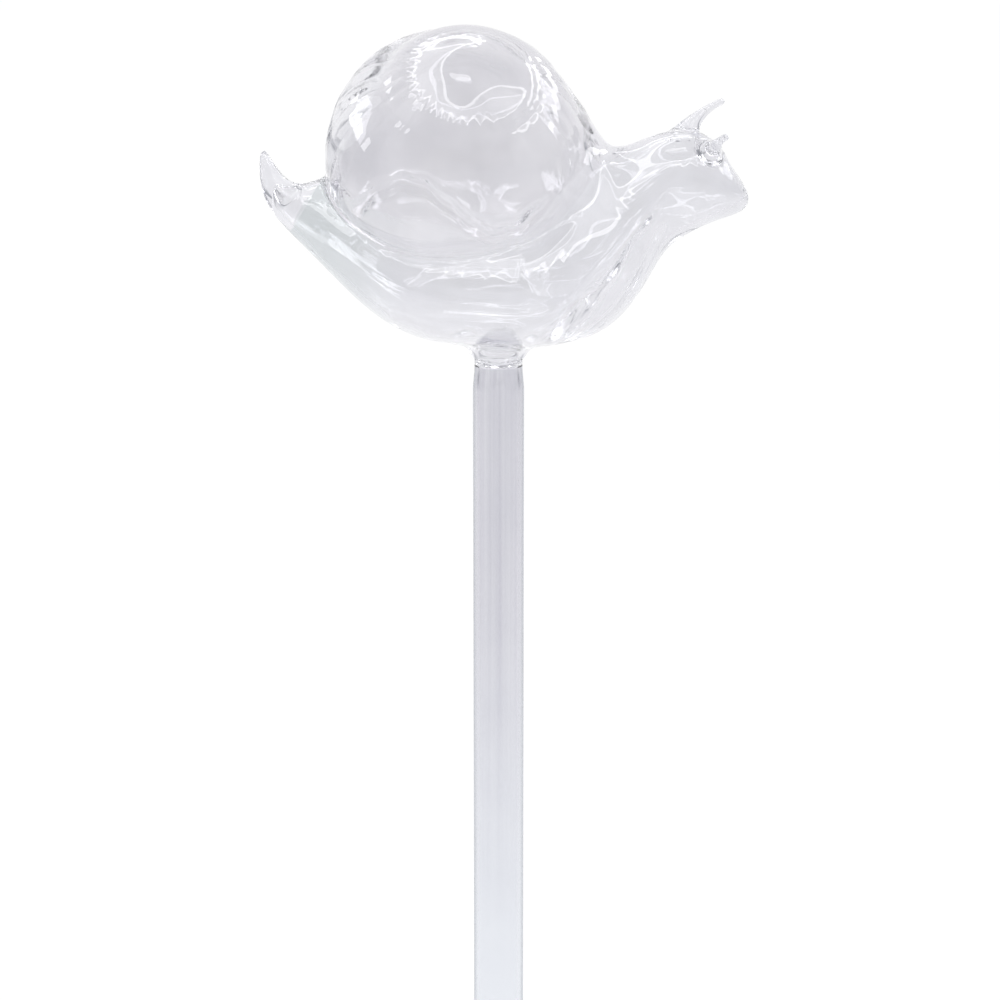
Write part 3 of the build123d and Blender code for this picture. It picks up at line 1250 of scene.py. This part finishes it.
@dataclass(frozen=True)
class GlowSheet:
    """A flat, level light with a brighter rim, hung above the shell's centre and hidden from the camera."""

    name: str
    place: tuple[float, float, float]
    turn: float
    core: tuple[float, float]
    rim: float

    def glow(self, part: str, left: float, right: float, reach: float = 0.2) -> bpy.types.Material:
        """Makes a white diffuser.

        Args:
            part: What it covers.
            left: Its strength at the left.
            right: Its strength at the right.
            reach: How far to each side the strength changes.

        Returns:
            The material.
        """
        material = bpy.data.materials.new(f"{self.name}_{part}")
        node = partial(add_node, blank_tree(material))
        strength: Any = left
        if left != right:
            place = node("ShaderNodeTexCoord", {})
            axes = node("ShaderNodeSeparateXYZ", {0: place.outputs["Object"]})
            span = {"Value": axes.outputs["X"], "From Min": -reach, "From Max": reach}
            strength = node("ShaderNodeMapRange", {**span, "To Min": left, "To Max": right}).outputs[0]
        glow = node("ShaderNodeEmission", {"Color": (1, 1, 1, 1), "Strength": strength})
        node("ShaderNodeOutputMaterial", {"Surface": glow.outputs[0]})
        return material

    def hang(self, target: Vector, points: list[Any], faces: list[tuple[int, ...]], core: list[bool]) -> None:
        """Hangs the light.

        Args:
            target: The shell's centre.
            points: Its points.
            faces: Its faces.
            core: Which faces belong to the core.
        """
        mesh = bpy.data.meshes.new(self.name)
        mesh.from_pydata(points, [], faces)
        mesh.materials.append(self.glow("rim", self.rim, self.rim))
        mesh.materials.append(self.glow("core", *self.core))
        mesh.polygons.foreach_set("material_index", [int(inner) for inner in core])
        lamp = bpy.data.objects.new(self.name, mesh)
        lamp.location = target + Vector(self.place)
        lamp.rotation_euler = (0.0, 0.0, math.radians(self.turn))
        lamp.visible_camera = False
        lamp.visible_shadow = False
        bpy.context.scene.collection.objects.link(lamp)


@dataclass(frozen=True)
class Panel(GlowSheet):
    """A soft panel with rounded corners."""

    size: tuple[float, float]
    rim_width: float
    corner: float = 0.03

    def outline(self, inset: float) -> list[tuple[float, float, float]]:
        """The panel's rounded outline.

        Args:
            inset: How far inside the outer edge.

        Returns:
            Corners of a flat polygon.
        """
        round_ = self.corner - inset * 0.5
        points = []
        for number in range(4):
            middle = math.pi / 2 * number + math.pi / 4
            side_x = math.copysign(self.size[0] / 2 - inset - round_, math.cos(middle))
            side_y = math.copysign(self.size[1] / 2 - inset - round_, math.sin(middle))
            for step in range(9):
                angle = math.pi / 2 * (number + step / 8)
                points.append((side_x + round_ * math.cos(angle), side_y + round_ * math.sin(angle), 0.0))
        return points

    def build(self, target: Vector) -> None:
        """Shapes and hangs the panel.

        Args:
            target: The shell's centre.
        """
        points = self.outline(0.0) + self.outline(self.rim_width)
        count = len(points) // 2
        faces = [(i, (i + 1) % count, count + (i + 1) % count, count + i) for i in range(count)]
        faces.append(tuple(range(count, 2 * count)))
        self.hang(target, points, faces, [False] * count + [True])


@dataclass(frozen=True)
class Crescent(GlowSheet):
    """A C-shaped soft light with a toothed outer edge, given by its inner and outer radius at even angles."""

    start: float
    step: float
    radii: tuple[tuple[float, float], ...]
    columns: int = 289
    rim_width: float = 0.025
    rim_share: float = 0.15
    teeth: int = 26
    tooth_share: float = 0.42
    tooth_power: float = 0.7
    tooth_span: tuple[float, ...] = (110.0, 150.0, 288.0, 313.0)
    bare_ends: tuple[int, int] = (4, 7)

    def build(self, target: Vector) -> None:
        """Shapes and hangs the light.

        Args:
            target: The shell's centre.
        """
        last = self.start + self.step * (len(self.radii) - 1)
        angles = np.linspace(self.start, last, self.columns)
        turn = np.radians(angles)
        inner, outer = Track(self.start, self.step, np.array(self.radii)).at(angles)[0].T
        wave = np.abs(np.sin(self.teeth * turn / 2 + 0.5 * np.sin(3.0 * turn)))
        tooth = (1 - 2 * wave**self.tooth_power) * (0.75 + 0.25 * np.sin(3.7 * turn))
        tooth = tooth * within(angles, self.tooth_span)
        spread = outer**2
        outer = outer + self.tooth_share * spread * tooth
        widest = (outer - inner) / 3
        inner_rim, outer_rim = (np.minimum(rim, widest) for rim in (self.rim_width, self.rim_share * spread))
        rows = [inner, inner + inner_rim, outer - outer_rim, outer]
        points = [np.stack([r * np.cos(turn), r * np.sin(turn), 0 * r], 1) for r in rows]
        count, (before, after) = self.columns, self.bare_ends
        spots = [(row, i) for row in range(3) for i in range(count - 1)]
        corners = [(row * count + i, (row + 1) * count + i) for row, i in spots]
        faces = [(low, low + 1, high + 1, high) for low, high in corners]
        core = [row == 1 and before <= i <= count - after for row, i in spots]
        self.hang(target, np.concatenate(points).tolist(), faces, core)


@dataclass
class Studio:
    """A pale sweep, soft lights and the camera.

    The camera sees pure white. Glass also mirrors and bends the tones of a studio: a grey wall in front,
    a dark gap above it, flags to the sides, and painted shade on the floor in front and at the sides.
    A band gives where each starts and is full.
    """

    floor_size: float = 14.0
    floor_paper: str = "#f2f2f2"
    floor_glow: float = 1.06
    floor_share: float = 0.92
    # Bands of painted shade on the floor, seen only by the glass
    painted_shade_front: tuple[float, float] = (-0.05, -0.5)
    painted_shade_sides: tuple[float, float] = (0.5, 1.6)
    tent_axis: tuple[float, float, float] = (0.0, -0.8, 0.6)
    tent_front: tuple[float, float] = (-0.1, 0.5)
    tent_gap: tuple[float, float] = (0.6, 0.95)
    tent_sides: tuple[float, float] = (0.75, 0.95)
    tent_fill: float = 0.5
    target: tuple[float, float, float] = (-0.0088, 0.0, 0.237)
    aim: tuple[float, float, float] = (0.00035, 0.0, 0.1562)
    distance: float = 0.8
    elevation: float = 13.8
    lens: float = 122.4
    bounces: int = 80
    floor_painted_shade: str = "#cfd0d4"
    wall_grey: str = "#a8a9ad"
    gap_grey: str = "#141518"
    flag_and_painted_shade_grey: str = "#a8aaaf"
    lights: tuple[Any, ...] = (
        Crescent(
            "crescent",
            (0.05, -0.05, 0.56),
            0.0,
            (1.4, 1.1),
            5.8,
            80.0,
            24.0,
            (
                *((0.49, 0.53), (0.3, 0.55), (0.215, 0.49), (0.188, 0.415), (0.181, 0.41)),
                *((0.205, 0.455), (0.262, 0.54), (0.365, 0.635), (0.393, 0.67), (0.315, 0.725)),
                *((0.262, 0.71), (0.3, 0.59), (0.43, 0.5)),
            ),
        ),
        Panel("panel_side", (-0.485, -0.32, 0.56), 117.0, (4.0, 4.0), 6.0, (0.1, 0.28), 0.015),
        Panel("panel_zenith", (0.012, -0.1, 0.56), 0.0, (3.5, 3.5), 5.0, (0.14, 0.065), 0.01),
        Softbox("strip_left", (-0.83, -0.01, 0.16), (-0.68, 0.39, 0.33), 0.18, 3.4),
        Softbox("strip_right", (0.8, 0.02, 0.26), (0.43, 0.54, 0.51), 0.16, 3.4),
    )

    def toned(
        self,
        tree: bpy.types.NodeTree,
        base: Any,
        value: bpy.types.NodeSocket,
        band: tuple[float, float],
        tone: str,
    ) -> bpy.types.NodeSocket:
        """Turns a white to another tone for the glass, and leaves it white for the camera.

        Args:
            tree: The node tree that gets the nodes.
            base: The white, as a colour or a socket.
            value: What the tone follows.
            band: Where the tone starts and where it is full.
            tone: The tone, as hex.

        Returns:
            The colour.
        """
        node = partial(add_node, tree)
        seen = node("ShaderNodeLightPath", {}).outputs["Is Camera Ray"]
        glass = node("ShaderNodeMath", {0: 1.0, 1: seen}, operation="SUBTRACT")
        span = {"Value": value, "From Min": band[0], "From Max": band[1]}
        step = node("ShaderNodeMapRange", span, interpolation_type="SMOOTHSTEP")
        share = node("ShaderNodeMath", {0: step.outputs[0], 1: glass.outputs[0]}, operation="MULTIPLY")
        mix = {0: share.outputs[0], 6: base, 7: linear(tone)}
        return node("ShaderNodeMix", mix, data_type="RGBA").outputs[2]

    def shown_rays(self, tree: bpy.types.NodeTree) -> bpy.types.NodeSocket:
        """Tells rays that show the background from rays that light the object.

        Args:
            tree: The node tree that gets the nodes.

        Returns:
            One for camera, glossy and transmission rays.
        """
        path = add_node(tree, "ShaderNodeLightPath", {})
        shown = path.outputs["Is Camera Ray"]
        for kind in ("Is Glossy Ray", "Is Transmission Ray"):
            either = {0: shown, 1: path.outputs[kind]}
            shown = add_node(tree, "ShaderNodeMath", either, operation="MAXIMUM").outputs[0]
        return shown

    def build_floor(self) -> None:
        """Lays the white floor, which keeps a faint shadow."""
        half = self.floor_size / 2
        corners = [(-half, -half, 0), (half, -half, 0), (half, half, 0), (-half, half, 0)]
        mesh = bpy.data.meshes.new("floor")
        mesh.from_pydata(corners, [], [(0, 1, 2, 3)])
        floor = bpy.data.objects.new("floor", mesh)
        bpy.context.scene.collection.objects.link(floor)
        material = bpy.data.materials.new("white_paper")
        tree = blank_tree(material)
        node = partial(add_node, tree)
        paper = node("ShaderNodeBsdfDiffuse", {"Color": linear(self.floor_paper)})
        place = node("ShaderNodeTexCoord", {})
        axes = node("ShaderNodeSeparateXYZ", {0: place.outputs["Object"]})
        # Painted shade for the glass alone: the floor greys towards the front and to the sides
        white = self.toned(tree, (1, 1, 1, 1), axes.outputs["Y"], self.painted_shade_front, self.floor_painted_shade)
        side = node("ShaderNodeMath", {0: axes.outputs["X"]}, operation="ABSOLUTE")
        white = self.toned(tree, white, side.outputs[0], self.painted_shade_sides, self.flag_and_painted_shade_grey)
        glow = node("ShaderNodeEmission", {"Color": white, "Strength": self.floor_glow})
        share = node("ShaderNodeMath", {0: self.shown_rays(tree), 1: self.floor_share}, operation="MULTIPLY")
        both = {0: share.outputs[0], 1: paper.outputs[0], 2: glow.outputs[0]}
        mixed = node("ShaderNodeMixShader", both)
        node("ShaderNodeOutputMaterial", {"Surface": mixed.outputs[0]})
        mesh.materials.append(material)

    def build_world(self) -> None:
        """Sets a white tent, with a grey front, a dark gap and side flags for the glass alone."""
        world = bpy.data.worlds.new("studio")
        bpy.context.scene.world = world
        tree = blank_tree(world)
        node = partial(add_node, tree)
        place = node("ShaderNodeTexCoord", {}).outputs["Generated"]
        front = node("ShaderNodeVectorMath", {0: place, 1: self.tent_axis}, operation="DOT_PRODUCT")
        facing = front.outputs["Value"]
        white = self.toned(tree, (1, 1, 1, 1), facing, self.tent_front, self.wall_grey)
        white = self.toned(tree, white, facing, self.tent_gap, self.gap_grey)
        axes = node("ShaderNodeSeparateXYZ", {0: place})
        side = node("ShaderNodeMath", {0: axes.outputs["X"]}, operation="ABSOLUTE")
        white = self.toned(tree, white, side.outputs[0], self.tent_sides, self.flag_and_painted_shade_grey)
        shown = node("ShaderNodeBackground", {"Color": white, "Strength": 1.0})
        fill = node("ShaderNodeBackground", {"Color": linear("#ffffff"), "Strength": self.tent_fill})
        both = {0: self.shown_rays(tree), 1: fill.outputs[0], 2: shown.outputs[0]}
        mixed = node("ShaderNodeMixShader", both)
        node("ShaderNodeOutputWorld", {"Surface": mixed.outputs[0]})

    def build_camera(self) -> None:
        """Sets the camera at the height and distance of a table-top picture."""
        data = bpy.data.cameras.new("camera")
        data.lens = self.lens
        data.sensor_width = 36.0
        data.clip_start = 0.01
        camera = bpy.data.objects.new("camera", data)
        rise = math.radians(self.elevation)
        back = Vector((0.0, -math.cos(rise), math.sin(rise)))
        camera.location = Vector(self.aim) + back * self.distance
        camera.rotation_euler = (-back).to_track_quat("-Z", "Y").to_euler()
        bpy.context.scene.collection.objects.link(camera)
        bpy.context.scene.camera = camera

    def build(self) -> None:
        """Builds floor, world, lights and camera."""
        self.build_floor()
        self.build_world()
        for light in self.lights:
            light.build(Vector(self.target))
        self.build_camera()
        scene = bpy.context.scene
        scene.view_settings.view_transform = "Standard"
        for kind in ("max", "transmission", "glossy"):
            setattr(scene.cycles, f"{kind}_bounces", self.bounces)


def main() -> None:
    """Builds the pieces and the studio."""
    LOG.info("vessel")
    Vessel().build()
    LOG.info("stem")
    Stem().build()
    LOG.info("studio")
    Studio().build()


if __name__ == "__main__":
    main()
